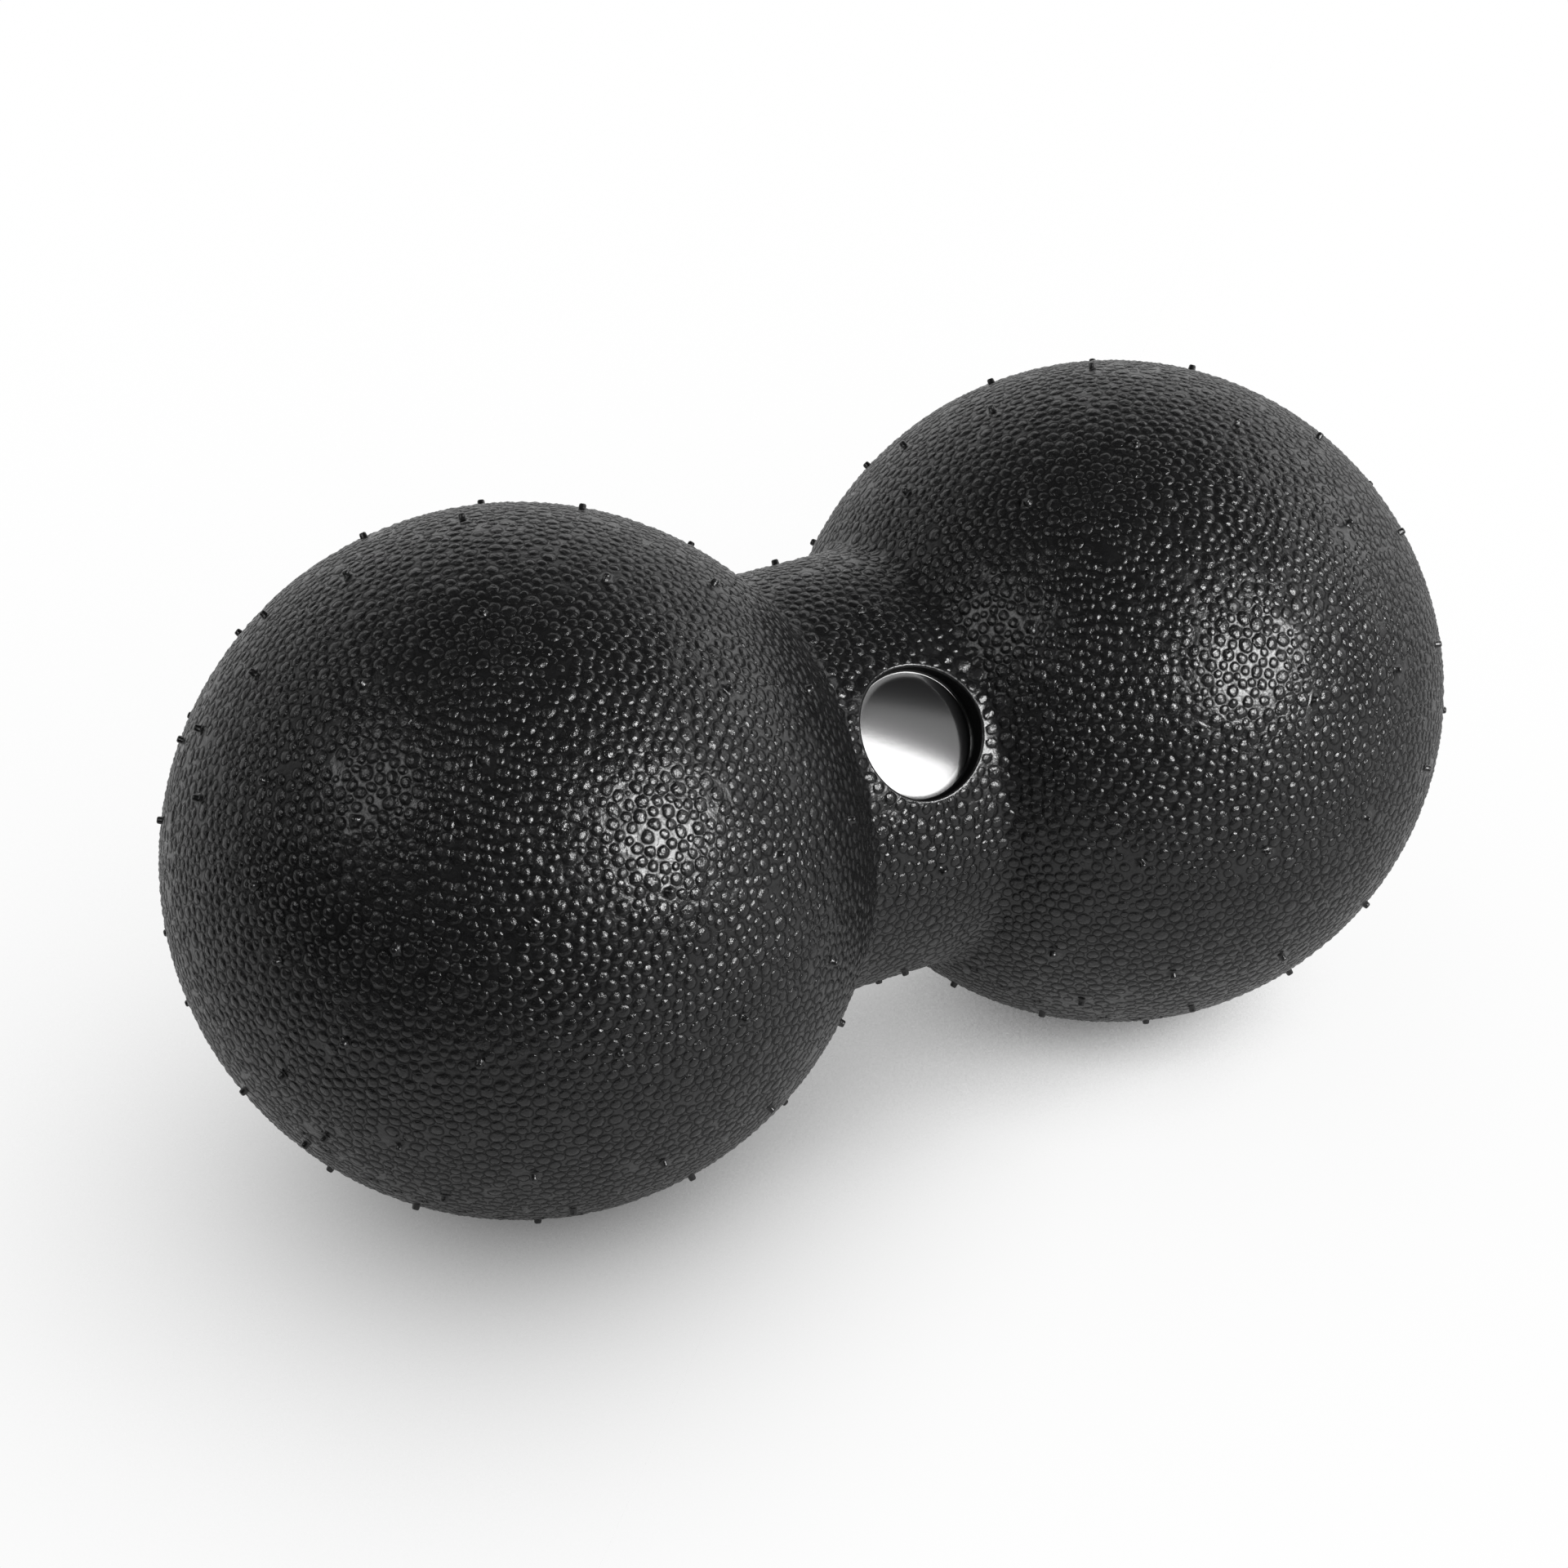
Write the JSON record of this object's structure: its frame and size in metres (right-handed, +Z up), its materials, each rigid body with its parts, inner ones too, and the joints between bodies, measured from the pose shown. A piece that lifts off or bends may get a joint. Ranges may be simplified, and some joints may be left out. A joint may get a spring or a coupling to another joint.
{
  "type": "peanut massage ball",
  "caption": "Peanut-shaped massage ball of black bead foam: two round balls joined by a short waist with a shallow round recess.",
  "frame": {"origin": "middle of the body, halfway between the centres of the two balls", "axes": "+X along the long axis, +Z up as the body lies, the recess in the waist turned 36 degrees up from -Y"},
  "size_m": [0.1604, 0.0804, 0.08],
  "materials": {
    "black_foam": "satin skin of fused foam beads"
  },
  "bodies": {
    "root": {"foam_body": "black_foam"}
  },
  "joints": []
}
